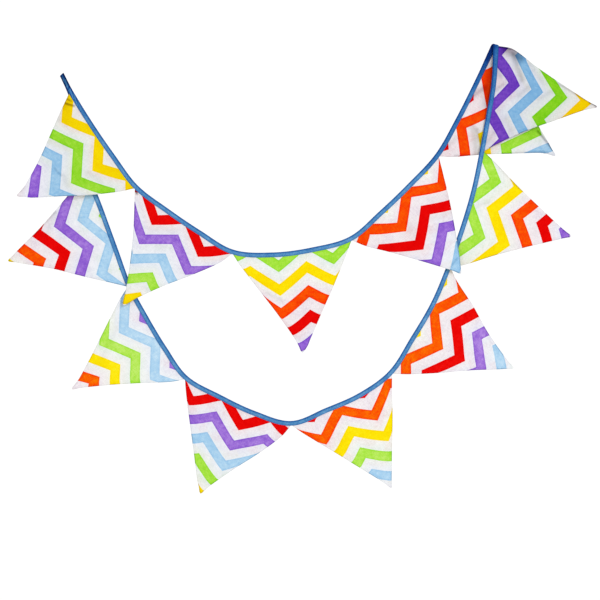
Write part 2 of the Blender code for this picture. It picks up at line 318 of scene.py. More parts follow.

# Soft creases of each near layer, from one flat place to another.
# rise: above 0 for a ridge and below 0 for a trough.
# width: how far from the crease's line it has nearly gone.
# shade: the painted shade in the crease, also where a row stands for a painted shadow beside the
# binding or a painted dark line along a free edge; below 0, how much paler the cloth is painted there.
Crease = namedtuple("Crease", "aside_1 below_1 aside_2 below_2 rise width shade")
CREASES = {
    "pennant_01": [
        Crease(-89, 15, -77, 4, -0.5, 1.7, 0.85),
        Crease(-93, 8, -87, 4, 0.4, 1.4, 0.75),
        Crease(-94, 7, -84, 16, -0.2, 7.0, 0.14),
        Crease(-85, 22, -62, 30, -0.3, 9.0, 0.08),
        Crease(-89, 49, -73, 41, -0.5, 5.0, 0.16),
        Crease(-9, 91, 7, 88, 0.4, 1.6, 0.25),
        Crease(9, 85, 27, 88, -0.5, 5.0, 0.14),
        Crease(-6, 163, -7, 150, -0.4, 3.0, 0.20),
        Crease(-52, 74, -26, 55, -0.4, 4.5, 0.10),
        Crease(-26, 126, 6, 146, -0.1, 14.0, -0.40),
        Crease(29, 47, 53, 36, -0.4, 5.0, 0.12),
        Crease(-89, 51, -37, 114, -0.1, 1.5, 0.40),
    ],
    "pennant_02": [
        Crease(-42, 39, 0, 14, -0.4, 6.0, 0.08),
        Crease(-86, 11, -65, 27, -0.3, 4.0, 0.08),
        Crease(-97, 1, -93, 4, -0.2, 2.2, 1.10),
    ],
    "pennant_03": [
        Crease(-50, 66, -30, 78, -0.4, 4.5, 0.13),
        Crease(0, 84, 17, 78, -0.4, 4.5, 0.13),
        Crease(-64, 8, -10, 49, 0.5, 8.0, 0.00),
    ],
    "pennant_04": [
        Crease(-13, 43, -21, 75, -0.4, 5.0, 0.08),
        Crease(17, 61, 53, 83, -0.4, 5.0, 0.08),
        Crease(-9, 151, 8, 147, -0.5, 1.8, 0.22),
        Crease(66, 56, 23, 135, -0.1, 1.5, 0.20),
    ],
    "pennant_05": [
        Crease(12, -1, 34, 12, -0.6, 5.0, 0.40),
        Crease(-29, 23, -66, 53, -0.6, 5.0, 0.26),
        Crease(-31, 33, -44, 46, -0.1, 4.0, 0.38),
        Crease(-80, 1, -59, 9, -0.5, 4.0, 0.20),
        Crease(-85, 22, -65, 60, -0.2, 1.6, 0.35),
        Crease(-46, 93, -4, 159, -0.2, 1.6, 0.35),
        Crease(19, 127, 6, 163, -0.2, 2.2, 0.65),
        Crease(71, 6, 14, 28, -0.4, 9.0, 0.40),
        Crease(14, 118, 0, 172, -0.1, 26.0, 0.10),
    ],
    "pennant_06": [
        Crease(-99, 1, -90, 17, -0.2, 2.3, 1.50),
        Crease(-90, 17, -79, 36, -0.2, 1.7, 0.80),
        Crease(-88, 12, -72, 34, -0.6, 8.0, 0.62),
        Crease(-76, 22, -32, 41, -0.6, 5.0, 0.32),
        Crease(-3, 40, -22, 55, -0.5, 4.0, 0.20),
        Crease(-64, 52, -34, 77, -0.4, 4.5, 0.14),
        Crease(-2, 76, -20, 94, -0.4, 4.0, 0.14),
        Crease(-36, 104, -12, 152, -0.3, 2.2, 0.40),
        Crease(-7, 160, -1, 172, -0.3, 2.2, 1.00),
        Crease(-56, 1, -40, 6, -0.4, 4.0, 0.26),
        Crease(-16, 1, -24, 10, -0.4, 4.0, 0.22),
        Crease(84, 2, 66, 11, -0.4, 4.0, 0.20),
        Crease(42, 25, 65, 42, -0.4, 5.0, 0.10),
        Crease(-90, 5, -4, 111, 0.6, 12.0, 0.00),
    ],
    "pennant_07": [
        Crease(-12, 11, -21, 24, -0.4, 4.0, 0.12),
        Crease(-70, 35, -7, 102, 0.5, 10.0, 0.00),
        Crease(-87, 22, -55, 74, -0.1, 1.5, 0.20),
    ],
    "pennant_08": [
        Crease(-64, 42, -20, 140, 0.5, 9.0, 0.00),
    ],
    "pennant_09": [
        Crease(12, 5, -23, 118, 0.5, 9.0, 0.00),
    ],
    "pennant_10": [
        Crease(41, 66, -32, 89, -0.5, 9.0, 0.00),
    ],
    "pennant_11": [
        Crease(56, 39, 13, 106, -0.4, 6.0, 0.06),
    ],
    "pennant_12": [
        Crease(55, 70, 27, 97, -0.5, 5.0, 0.16),
        Crease(45, 35, 28, 36, -0.4, 4.0, 0.10),
        Crease(32, 2, 5, 1, -0.3, 4.0, 0.12),
        Crease(-29, 92, -15, 33, 0.5, 8.0, 0.00),
        Crease(57, 69, 29, 124, -0.1, 1.5, 0.30),
    ],
}

# Where painted shade deepens the binding's blue, at both hanging points and beside the pennants near
# the right one: from low to high along it, in millimetres.
# rise, fall: how long it takes to deepen before that and to fade after it.
Band = namedtuple("Band", "low high rise fall depth")

# A place on the binding's middle line: the point, the way on along it, the way across it to the
# pennants, and the way out of its far face.
Section = namedtuple("Section", "point along across out")


def paint(red, green, blue):
    """A screen colour from 0 to 255 as the light that Blender's colours hold."""
    shares = [value / 255 for value in (red, green, blue)]
    return tuple(s / 12.92 if s <= 0.04045 else ((s + 0.055) / 1.055) ** 2.4 for s in shares)


def smooth(low, high, value):
    """0 below low, 1 above high, and an even S between them."""
    share = min(max((value - low) / (high - low), 0.0), 1.0)
    return share * share * (3 - 2 * share)


# ---- Settings


def length_setting(name, description, default):
    return FloatProperty(name=name, description=description, default=default, min=0.0, unit="LENGTH")


def colour_setting(name, description, default):
    return FloatVectorProperty(
        name=name, description=description, default=default, subtype="COLOR", min=0.0, max=1.0
    )


def share_setting(name, description, default):
    return FloatProperty(name=name, description=description, default=default, min=0.0, max=1.0)


def power_setting(name, description, default):
    return FloatProperty(name=name, description=description, default=default, min=0.0, unit="POWER")


class PrintSettings(bpy.types.PropertyGroup):
    stripe_width: length_setting("Stripe", "Width of a stripe, straight down the cloth", 0.0213)
    stripe_repeat: length_setting("Repeat down", "From one stripe to the next", 0.0427)
    zigzag_length: length_setting("Zigzag length", "From one point of the zigzag to the next", 0.0952)
    zigzag_depth: length_setting("Zigzag depth", "From its high points to its low ones", 0.0356)
    red: colour_setting("Red", "Ink of the red stripe", paint(227, 2, 1))
    orange: colour_setting("Orange", "Ink of the orange stripe", paint(245, 80, 0))
    yellow: colour_setting("Yellow", "Ink of the yellow stripe", paint(248, 221, 3))
    green: colour_setting("Green", "Ink of the green stripe", paint(167, 225, 70))
    light_blue: colour_setting("Light blue", "Ink of the light blue stripe", paint(167, 206, 235))
    purple: colour_setting("Purple", "Ink of the purple stripe", paint(152, 108, 211))


class ClothSettings(bpy.types.PropertyGroup):
    white: colour_setting("White", "The cotton where it is not printed", paint(237, 238, 242))
    thread: length_setting("Thread", "From one thread of the weave to the next", 0.00045)
    show_through: share_setting("Show-through", "How much of the far layer's print shows", 0.055)
    stain: share_setting("Stain", "How much ink has washed into the white between the stripes", 0.09)
    wave_depth: length_setting("Waves", "How far the cloth swells out of its smooth shape", 0.0013)
    pucker_depth: length_setting("Puckers", "How far the sewn edges ripple", 0.0005)
    seam_allowance: length_setting("Seam allowance", "Width of the cloth turned in at an edge", 0.0065)


class BindingSettings(bpy.types.PropertyGroup):
    blue: colour_setting("Blue", "The binding's faces", paint(80, 136, 188))
    thread: colour_setting("Thread", "The sewing thread", paint(92, 148, 200))
    stitch: length_setting("Stitch", "From one stitch to the next", 0.0027)


class StudioSettings(bpy.types.PropertyGroup):
    room: share_setting("Room light", "Even light from all sides", 0.66)
    key: power_setting("Key light", "Power of the main lamp", 72.0)
    fill: power_setting("Fill light", "Power of the weak lamp", 16.0)
    back: power_setting("Back light", "Power of the lamp behind", 50.0)
    floor: colour_setting("Floor", "The pale floor", paint(232, 232, 230))


# ---- The line of the binding


def place(row):
    return Vector((row.x, row.y, row.z))


def across(along, side):
    """The direction from the binding into its pennants, in the cloth's plane."""
    return (VIEWER.cross(along) * -side).normalized()


def hairpin():
    """The half turn over the right hanging point, from the back run to the front run."""
    ridge = Vector((math.cos(HAIRPIN_TILT), 0.0, math.sin(HAIRPIN_TILT)))
    up = VIEWER.cross(ridge)
    centre = Vector((HAIRPIN_SHIFT, 0.0, -HAIRPIN_DROP))
    sections = []
    for step in range(HAIRPIN_STEPS + 1):
        share = step / HAIRPIN_STEPS
        turn = math.pi * share
        out = up * math.sin(turn) - VIEWER * math.cos(turn)
        along = up * math.cos(turn) + VIEWER * math.sin(turn)
        along = along * math.cos(HAIRPIN_LEAN) + ridge * math.sin(HAIRPIN_LEAN)
        point = centre + out * HAIRPIN_RADIUS + ridge * HAIRPIN_DRIFT * (share - 0.5)
        sections.append(Section(point, along, out.cross(along).normalized(), out))
    return sections


def stations(rows, last, side):
    """Each pennant's start, then the bowed points at one and two thirds of its top edge."""
    starts = [place(row) for row in rows]
    points = []
    for row, start, end in zip(rows, starts, starts[1:] + [last]):
        down = across(end - start, side)
        points.append(start)
        points.append(start.lerp(end, 1 / 3) + down * row.sag_1)
        points.append(start.lerp(end, 2 / 3) + down * row.sag_2)
    return points


def smooth_run(points, side, entry=None, leave=None):
    """A smooth line through the points, as sections."""
    headings = []
    for before, after in zip([points[0]] + points[:-1], points[1:] + [points[-1]]):
        headings.append((after - before).normalized())
    headings[0] = entry or headings[0]
    headings[-1] = leave or headings[-1]
    line = []
    for index in range(len(points) - 1):
        near, far = points[index], points[index + 1]
        reach = (far - near).length / 3
        line += interpolate_bezier(
            near,
            near + headings[index] * reach,
            far - headings[index + 1] * reach,
            far,
            STEPS_PER_THIRD + 1,
        )[:-1]
    line.append(points[-1])
    sections = []
    for index, point in enumerate(line):
        before = line[max(index - 1, 0)]
        after = line[min(index + 1, len(line) - 1)]
        along = (after - before).normalized()
        if index == 0 and entry:
            along = entry
        if index == len(line) - 1 and leave:
            along = leave
        down = across(along, side)
        sections.append(Section(point, along, down, along.cross(down)))
    return sections


class BindingLine:
    """The whole binding as sections in order, and where each pennant lies on it."""

    def __init__(self):
        turn = hairpin()
        upper_points = [place(row) for row in UPPER_START]
        upper_points += stations(UPPER, turn[0].point, UPPER_SIDE)
        upper_points.append(turn[0].point)
        first = turn[-1].point
        lower_rows = [LOWER[0]._replace(x=first.x, y=first.y, z=first.z)] + LOWER[1:]
        finish = [place(row) for row in LOWER_FINISH]
        lower_points = stations(lower_rows, finish[0], LOWER_SIDE) + finish
        upper = smooth_run(upper_points, UPPER_SIDE, leave=turn[0].along)
        lower = smooth_run(lower_points, LOWER_SIDE, entry=turn[-1].along)
        self.sections = upper[:-1] + turn + lower[1:]
        self.reached = [0.0]
        for before, after in zip(self.sections, self.sections[1:]):
            self.reached.append(self.reached[-1] + (after.point - before.point).length)
        self.length = self.reached[-1]
        self.turn_start = self.reached[len(upper) - 1]
        self.turn_end = self.reached[len(upper) - 1 + HAIRPIN_STEPS]
        self.spans = {}
        self.mark_spans(UPPER, len(UPPER_START) * STEPS_PER_THIRD)
        self.mark_spans(LOWER, len(upper) - 1 + HAIRPIN_STEPS)
        start, end = self.spans[LOWER[0].name]
        self.spans[LOWER[0].name] = (start - CORNER_ON_TURN, end)
        self.held_from = self.spans[UPPER[0].name][0]
        self.held_to = self.spans[LOWER[-1].name][1]

    def mark_spans(self, rows, first):
        span = 3 * STEPS_PER_THIRD
        for index, row in enumerate(rows):
            start = self.reached[first + index * span]
            end = self.reached[first + (index + 1) * span]
            self.spans[row.name] = (start, end)

    def at(self, distance):
        """The section at a distance along the binding."""
        index = min(max(bisect_right(self.reached, distance) - 1, 0), len(self.reached) - 2)
        share = (distance - self.reached[index]) / (self.reached[index + 1] - self.reached[index])
        near, far = self.sections[index], self.sections[index + 1]
        return Section(*(before.lerp(after, share) for before, after in zip(near, far)))

    def spread(self, distance):
        """How much wider the binding lies beside the hanging point."""
        before = smooth(self.turn_start - SPREAD_LENGTH, self.turn_start, distance)
        return 1 + SPREAD * before * smooth(self.turn_end + SPREAD_LENGTH, self.turn_end, distance)

    def half_gap(self, distance):
        """Half the space between the leaves: they close up where the binding is bare."""
        bare = max(self.held_from - distance, distance - self.held_to, 0.0)
        return HELD_GAP + (BARE_GAP - HELD_GAP) * min(bare / CLOSING_LENGTH, 1.0)


# ---- Mesh helpers


def new_verts(grown):
    return [item for item in grown if isinstance(item, bmesh.types.BMVert)]


def add_object(name, data):
    """A new object in the scene."""
    item = bpy.data.objects.new(name, data)
    bpy.context.scene.collection.objects.link(item)
    return item


def to_mesh(name, bm):
    """The bmesh as a mesh that objects can use."""
    mesh = bpy.data.meshes.new(name)
    bm.to_mesh(mesh)
    bm.free()
    return mesh


def finish_piece(name, bm, material):
    """The bmesh as an object that rides on the one body, with smooth faces that point outwards."""
    bmesh.ops.recalc_face_normals(bm, faces=bm.faces[:])
    for face in bm.faces:
        face.smooth = True
    mesh = to_mesh(name, bm)
    mesh.materials.append(material)
    piece = add_object(name, mesh)
    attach(piece, "root")
    return piece


def sweep(bm, rings, marks):
    """A closed solid through rings of (point, mark) pairs that have the same number of points."""
    ring = [bm.verts.new(point) for point, mark in rings[0]]
    for vert, (point, mark) in zip(ring, rings[0]):
        vert[marks] = mark
    edges = [bm.edges.new(pair) for pair in zip(ring, ring[1:] + ring[:1])]
    bmesh.ops.contextual_create(bm, geom=edges)
    for points in rings[1:]:
        fresh = set(new_verts(bmesh.ops.extrude_edge_only(bm, edges=edges)["geom"]))
        following = []
        for vert in ring:
            following += [e.other_vert(vert) for e in vert.link_edges if e.other_vert(vert) in fresh]
        for vert, (point, mark) in zip(following, points):
            vert.co = point
            vert[marks] = mark
        ring = following
        edges = [bm.edges.get(pair) for pair in zip(ring, ring[1:] + ring[:1])]
    bmesh.ops.contextual_create(bm, geom=edges)


def map_marks(bm, marks, name):
    """A UV map in metres, from marks that say how far along and across each point is."""
    cloth = bm.loops.layers.uv.new(name)
    for face in bm.faces:
        for loop in face.loops:
            along, sideways, _ = loop.vert[marks]
            loop[cloth].uv = (along * MM, sideways * MM)


# ---- Shader helpers and the effects that the materials share


def wire(tree, kind, sockets=(), **options):
    """The outputs of a new node, with its sockets fed by other nodes' outputs or given values."""
    node = tree.nodes.new("ShaderNode" + kind)
    for name, value in options.items():
        setattr(node, name, value)
    for socket, value in dict(sockets).items():
        if isinstance(value, bpy.types.NodeSocket):
            tree.links.new(value, node.inputs[socket])
        else:
            node.inputs[socket].default_value = value
    return node.outputs


def calc(tree, operation, *values):
    return wire(tree, "Math", enumerate(values), operation=operation)[0]


def more(tree, total, amount, factor):
    """The total with so many times the amount added."""
    return calc(tree, "MULTIPLY_ADD", amount, factor, total)


def between(tree, share, least, most):
    """The least where the share is 0, the most where it is 1, and even between them."""
    return calc(tree, "MULTIPLY_ADD", share, most - least, least)


def fade(tree, value, low, high):
    """0 where value is below low, 1 where it is above high, smooth between; low may be the greater."""
    sockets = {"Value": value, "From Min": low, "From Max": high}
    return wire(tree, "MapRange", sockets, interpolation_type="SMOOTHSTEP")["Result"]


def clouds(tree, spot, scale, detail):
    """Smooth noise at a place: its amount first, then its colour."""
    return wire(tree, "TexNoise", {"Vector": spot, "Scale": scale, "Detail": detail})


def wobbled(tree, spot, scale, reach):
    """The parts of a place on the cloth, moved a little this way and that."""
    sockets = {0: clouds(tree, spot, scale, 2.0)["Color"], 1: (reach, reach, 0.0), 2: spot}
    moved = wire(tree, "VectorMath", sockets, operation="MULTIPLY_ADD")[0]
    return wire(tree, "SeparateXYZ", {"Vector": moved})


def blend_colours(tree, share, first, second, way="MIX"):
    first, second = (c if isinstance(c, bpy.types.NodeSocket) else (*c, 1.0) for c in (first, second))
    return wire(tree, "Mix", {0: share, 6: first, 7: second}, data_type="RGBA", blend_type=way)[2]


def deepen(tree, colour, tone):
    """The colour made deeper where the tone is above 1, and paler where it is below."""
    return wire(tree, "Gamma", {"Color": colour, "Gamma": tone})[0]


def new_group(name, inputs, outputs):
    """A shader node group with its sockets, and the nodes that stand for them."""
    tree = bpy.data.node_groups.new(name, "ShaderNodeTree")
    for label, kind, default in inputs:
        socket = tree.interface.new_socket(label, in_out="INPUT", socket_type="NodeSocket" + kind)
        if default is not None:
            socket.default_value = default
    for label, kind in outputs:
        tree.interface.new_socket(label, in_out="OUTPUT", socket_type="NodeSocket" + kind)
    return tree, tree.nodes.new("NodeGroupInput").outputs, tree.nodes.new("NodeGroupOutput").inputs


def shared_group(name, build, *settings):
    """The node group of that name, built the first time that it is asked for."""
    return bpy.data.node_groups.get(name) or build(*settings)


def use_group(tree, group, **sockets):
    return wire(tree, "Group", sockets, node_tree=group)


def ink_of(tree, stripe, settings):
    """The ink of a stripe from its number, which counts on and on through the printed order."""
    count = float(len(STRIPES))
    turn = calc(tree, "FLOORED_MODULO", stripe, count)
    ramp = tree.nodes.new("ShaderNodeValToRGB")
    tree.links.new(calc(tree, "DIVIDE", calc(tree, "ADD", turn, 0.5), count), ramp.inputs[0])
    ramp.color_ramp.interpolation = "CONSTANT"
    stops = ramp.color_ramp.elements
    while len(stops) < len(STRIPES):
        stops.new(1.0)
    for index, name in enumerate(STRIPES):
        stops[index].position = index / len(STRIPES)
        stops[index].color = (*getattr(settings, name), 1.0)
    return ramp.outputs["Color"]


def zigzag_group(settings):
    """Zigzag stripes in six colours, from a place on the cloth in metres.

    Ink is a blend of the inks beside it where the cloth is bare. Edge grows to 1 from a stripe's inside
    to its edges. Veil is 1 well inside the stripes and fades out over the bare cloth beside them.
    """
    tree, given, result = new_group(
        "zigzag stripes",
        [("Cloth", "Vector", None)],
        [("Ink", "Color"), ("Printed", "Float"), ("Edge", "Float"), ("Veil", "Float")],
    )
    spot = wobbled(tree, given["Cloth"], PRINT_WOBBLE_SCALE, PRINT_WOBBLE)
    half_wave = settings.zigzag_length / 2
    away = calc(tree, "PINGPONG", spot["X"], half_wave)
    rise = calc(tree, "MULTIPLY_ADD", away, -settings.zigzag_depth / half_wave, settings.zigzag_depth)
    down = calc(tree, "DIVIDE", calc(tree, "SUBTRACT", spot["Y"], rise), settings.stripe_repeat)
    number = calc(tree, "FLOOR", down)
    into = calc(tree, "MULTIPLY", calc(tree, "SUBTRACT", down, number), settings.stripe_repeat)
    middle = settings.stripe_width / 2
    from_middle = calc(tree, "ABSOLUTE", calc(tree, "SUBTRACT", into, middle))
    beyond = calc(tree, "SUBTRACT", from_middle, middle)
    inks = [ink_of(tree, stripe, settings) for stripe in (number, calc(tree, "ADD", number, 1.0))]
    onward = fade(tree, into, settings.stripe_width, settings.stripe_repeat)
    tree.links.new(blend_colours(tree, onward, *inks), result["Ink"])
    for label, low, high in (
        ("Printed", INK_BLUR, -INK_BLUR),
        ("Edge", -0.0045, -0.0005),
        ("Veil", 0.004, -0.005),
    ):
        tree.links.new(fade(tree, beyond, low, high), result[label])
    return tree


def weave_group():
    """Plain weave, from a place on the cloth in metres: how high the threads stand, and their slubs."""
    tree, given, result = new_group(
        "plain weave",
        [("Cloth", "Vector", None), ("Thread", "Float", 0.0005)],
        [("Height", "Float"), ("Slubs", "Float")],
    )
    spot = wobbled(tree, given["Cloth"], THREAD_WOBBLE_SCALE, THREAD_WOBBLE)
    turns = calc(tree, "DIVIDE", math.pi, given["Thread"])
    waves = [calc(tree, "SINE", calc(tree, "MULTIPLY", spot[axis], turns)) for axis in "XY"]
    warp, weft = (calc(tree, "ABSOLUTE", wave) for wave in waves)
    crossing = calc(tree, "MULTIPLY", calc(tree, "MULTIPLY", *waves), 3.0)
    over = fade(tree, crossing, -0.6, 0.6)
    under = calc(tree, "SUBTRACT", 1.0, over)
    height = more(tree, calc(tree, "MULTIPLY", weft, under), warp, over)
    tree.links.new(height, result["Height"])
    streaks = []
    for scale in ((SLUB_FINE, SLUB_LONG, 1.0), (SLUB_LONG, SLUB_FINE, 1.0)):
        along = wire(tree, "Mapping", {"Vector": given["Cloth"], "Scale": scale})[0]
        streaks.append(clouds(tree, along, 1.0, 3.0)[0])
    tree.links.new(calc(tree, "MULTIPLY", calc(tree, "ADD", *streaks), 0.5), result["Slubs"])
    return tree


def blotch_group():
    """Soft patches in two sizes, as in washed and printed cloth."""
    tree, given, result = new_group(
        "blotches",
        [("Place", "Vector", None), ("Large", "Float", 30.0), ("Small", "Float", 140.0)],
        [("Amount", "Float")],
    )
    large = clouds(tree, given["Place"], given["Large"], 3.0)[0]
    small = clouds(tree, given["Place"], given["Small"], 4.0)[0]
    tree.links.new(fade(tree, calc(tree, "ADD", large, small), 0.7, 1.3), result["Amount"])
    return tree


def start_material(name, roughness, sheen):
    """A new matt material, with its nodes and its shader's inputs."""
    material = bpy.data.materials.new(name)
    material.use_nodes = True
    inputs = material.node_tree.nodes["Principled BSDF"].inputs
    inputs["Roughness"].default_value = roughness
    inputs["Sheen Weight"].default_value = sheen
    inputs["Sheen Roughness"].default_value = SHEEN_ROUGHNESS
    inputs["Specular IOR Level"].default_value = SHINE
    return material, material.node_tree, inputs


def raise_cloth(tree, inputs, strength, distance, height):
    """Fine threads that stand up by so much, in metres."""
    bump = wire(tree, "Bump", {"Strength": strength, "Distance": distance, "Height": height})
    tree.links.new(bump[0], inputs["Normal"])


def printed_cotton(settings, cloth):
    """White cotton with zigzag stripes, placed by where each pennant was cut."""
    material, tree, inputs = start_material("zigzag_cotton", 0.86, 0.005)
    zigzag = shared_group("zigzag stripes", zigzag_group, settings)
    blotches = shared_group("blotches", blotch_group)
    weave = shared_group("plain weave", weave_group)
    near, far = (wire(tree, "UVMap", uv_map=name)[0] for name in ("cloth", "behind"))
    edge, tone, shade = (
        wire(tree, "Attribute", attribute_name=name)["Fac"] for name in ("edge", "tone", "shade")
    )
    stripes, hidden = (use_group(tree, zigzag, Cloth=spot) for spot in (near, far))
    patches = use_group(tree, blotches, Place=near, Large=34.0, Small=150.0)["Amount"]
    haze = use_group(tree, blotches, Place=far, Large=48.0, Small=260.0)["Amount"]
    threads = use_group(tree, weave, Cloth=near, Thread=cloth.thread)
    printed = stripes["Printed"]

    # The white cloth with what shows through and what has washed into it, then the stripes
    veil = calc(tree, "MULTIPLY", hidden["Veil"], between(tree, haze, 0.3, 1.5))
    shows = calc(tree, "MULTIPLY", veil, cloth.show_through)
    ground = blend_colours(tree, shows, cloth.white, hidden["Ink"])
    ground = blend_colours(tree, cloth.stain, ground, stripes["Ink"])
    colour = blend_colours(tree, printed, ground, stripes["Ink"])

    # How deep the colours are: each pennant's painted shade from its tone, less on bare cloth, then the
    # cloth's own unevenness and its seam allowance
    bare = calc(tree, "SUBTRACT", 1.0, printed)
    tone = more(tree, 1.14, calc(tree, "SUBTRACT", tone, 1.0), between(tree, printed, 0.6, 1.0))
    for amount, factor in (
        # patches where it has washed out
        (patches, between(tree, printed, -0.25, -0.32)),
        # dust on the bare cloth
        (calc(tree, "MULTIPLY", bare, calc(tree, "SUBTRACT", haze, 0.5)), 0.3),
        # more ink along the stripes' edges
        (stripes["Edge"], calc(tree, "MULTIPLY", printed, 0.2)),
        # thick and thin threads
        (calc(tree, "SUBTRACT", threads["Slubs"], 0.5), between(tree, printed, 2.3, 1.3)),
        # the seam allowance behind it
        (fade(tree, edge, cloth.seam_allowance, cloth.seam_allowance - SEAM_BLUR), 0.08),
    ):
        tone = more(tree, tone, amount, factor)

    # Painted shade in the creases, and a painted dark line along the free edges
    inked = more(tree, calc(tree, "MULTIPLY", haze, 0.4), printed, 0.8)
    edge_shade = calc(tree, "MULTIPLY", fade(tree, edge, *EDGE_SHADE_REACH), inked)
    shade = more(tree, shade, edge_shade, 0.45)
    colour = deepen(tree, colour, more(tree, tone, shade, 0.5))
    shade = calc(tree, "MINIMUM", calc(tree, "MULTIPLY", shade, 0.8), 0.9)
    # the colour that the painted shade multiplies the cloth by
    colour = blend_colours(tree, shade, colour, paint(110, 104, 112), "MULTIPLY")
    tree.links.new(colour, inputs["Base Color"])
    tree.links.new(between(tree, threads["Slubs"], 0.75, 0.95), inputs["Roughness"])
    raise_cloth(tree, inputs, 0.35, 0.00008, threads["Height"])
    return material


def stretch(tree, along, low, high, rise, fall):
    """1 between two distances along the binding in millimetres, fading over the rise and the fall."""
    rises = fade(tree, along, (low - rise) * MM, low * MM)
    falls = fade(tree, along, (high + fall) * MM, high * MM)
    return calc(tree, "MULTIPLY", rises, falls)


def folded_cotton(binding, cloth, line):
    """Blue bias-cut cotton, with painted shade along its fold and navy painted shade at the hanging
    points.
    """
    material, tree, inputs = start_material("bias_binding", 0.8, 0.02)
    weave = shared_group("plain weave", weave_group)
    blotches = shared_group("blotches", blotch_group)
    tape = wire(tree, "UVMap", uv_map="tape")[0]
    bias = wire(tree, "Mapping", {"Vector": tape, "Rotation": (0.0, 0.0, math.pi / 4)})[0]
    threads = use_group(tree, weave, Cloth=bias, Thread=cloth.thread)
    patches = use_group(tree, blotches, Place=tape, Large=60.0, Small=420.0)["Amount"]
    spot = wire(tree, "SeparateXYZ", {"Vector": tape})
    along, wide = spot["X"], spot["Y"]
    tone = more(tree, 1.12, patches, -0.3)
    # painted shade: navy at both hanging points, and deeper beside the pennants near the right one
    for band in (
        Band(line.spans["pennant_05"][0], line.turn_end + 60, 60, 130, 0.32),
        Band(line.turn_start - 40, line.turn_start + 5, 45, 12, 0.45),
        Band(line.turn_end - 2, line.turn_end + 45, 6, 15, 0.12),
        Band(line.turn_start - 20, line.turn_start + 2, 14, 5, 0.85),
        Band(-5, 40, 9, 110, 0.25),
        Band(-5, 5, 9, 7, 0.6),
        Band(line.length - 30, line.length, 30, 9, 0.6),
    ):
        deeper = stretch(tree, along, band.low, band.high, band.rise, band.fall)
        tone = more(tree, tone, deeper, band.depth)

    slanted = more(tree, along, wide, -TURNED_SLANT)
    seam = TURNED_LENGTH + TURNED_UNDER - TURNED_SLANT * BINDING_WIDTH / 2
    shaded = stretch(tree, along, line.turn_start - 30, line.turn_start + 2, 20, 5)
    ribs = calc(tree, "SINE", calc(tree, "MULTIPLY", more(tree, wide, along, RIB_SLANT), RIB_SCALE))
    by_fold = between(tree, stretch(tree, along, -5, 22, 9, 20), 0.62, 1.62)
    by_opening = between(tree, stretch(tree, along, -5, 22, 9, 30), 0.25, 1.65)
    for amount, factor in (
        # painted shade along the fold, much deeper by the left hanging point
        (fade(tree, wide, 0.0036, 0.0008), by_fold),
        # painted shade at the step of the turned end's seam
        (stretch(tree, slanted, seam - 0.5, seam + 0.5, 0.8, 0.8), 0.9),
        # the front run's shade on the back one
        (calc(tree, "MULTIPLY", shaded, fade(tree, wide, 0.003, 0.0062)), 0.5),
        # darker along the opening, and much darker by the left hanging point, where it is painted shade
        (fade(tree, wide, 0.0054, 0.0074), by_opening),
        # painted light and shade on the turned end's ribs, which the bump also raises
        (calc(tree, "MULTIPLY", ribs, stretch(tree, along, -5, 45, 9, 40)), 0.3),
        # thick and thin threads
        (calc(tree, "SUBTRACT", threads["Slubs"], 0.5), 1.2),
    ):
        tone = more(tree, tone, amount, factor)
    colour = deepen(tree, (*binding.blue, 1.0), tone)
    # painted shade, greyer and browner, at the binding's first end by the left hanging point
    left_end_shade = calc(tree, "MULTIPLY", stretch(tree, along, -5, 21, 9, 6), 0.4)
    colour = blend_colours(tree, left_end_shade, colour, paint(150, 140, 105), "MULTIPLY")
    tree.links.new(colour, inputs["Base Color"])
    raise_cloth(tree, inputs, 0.4, 0.00012, more(tree, threads["Height"], ribs, 0.35))
    return material


def sewing_thread(binding):
    """Twisted cotton thread, a little lighter than the binding."""
    material, tree, inputs = start_material("sewing_thread", 0.7, 0.1)
    twist = clouds(tree, wire(tree, "TexCoord")["Object"], 2600.0, 2.0)[0]
    share = calc(tree, "MULTIPLY", twist, 0.5)
    tree.links.new(blend_colours(tree, share, binding.thread, binding.blue), inputs["Base Color"])
    raise_cloth(tree, inputs, 0.4, 0.0001, twist)
    return material


def pale_floor(settings):
    """A pale matt floor with faint large clouds."""
    material, tree, inputs = start_material("pale_floor", 0.9, 0.0)
    cloud = clouds(tree, wire(tree, "TexCoord")["Object"], 0.6, 2.0)[0]
    share = calc(tree, "MULTIPLY", cloud, 0.1)
    colour = blend_colours(tree, share, settings.floor, paint(240, 240, 240))
    tree.links.new(colour, inputs["Base Color"])
    return material


# ---- Pennants


def bow(share, heights):
    """A smooth bow through its heights at the odd eighths of the way and beside the tip."""
    places = [0.0, 1 / 8, 3 / 8, 5 / 8, 7 / 8, 15 / 16, 1.0]
    heights = [0.0, *heights, 0.0]
    index = min(max(bisect_right(places, share) - 1, 0), len(places) - 2)
    slopes = []
    for near in (index, index + 1):
        before, after = max(near - 1, 0), min(near + 1, len(places) - 1)
        slopes.append((heights[after] - heights[before]) / (places[after] - places[before]))
    span = places[index + 1] - places[index]
    t = (share - places[index]) / span
    level = heights[index] + (heights[index + 1] - heights[index]) * (3 - 2 * t) * t * t
    return level + span * t * (1 - t) * (slopes[0] * (1 - t) - slopes[1] * t)


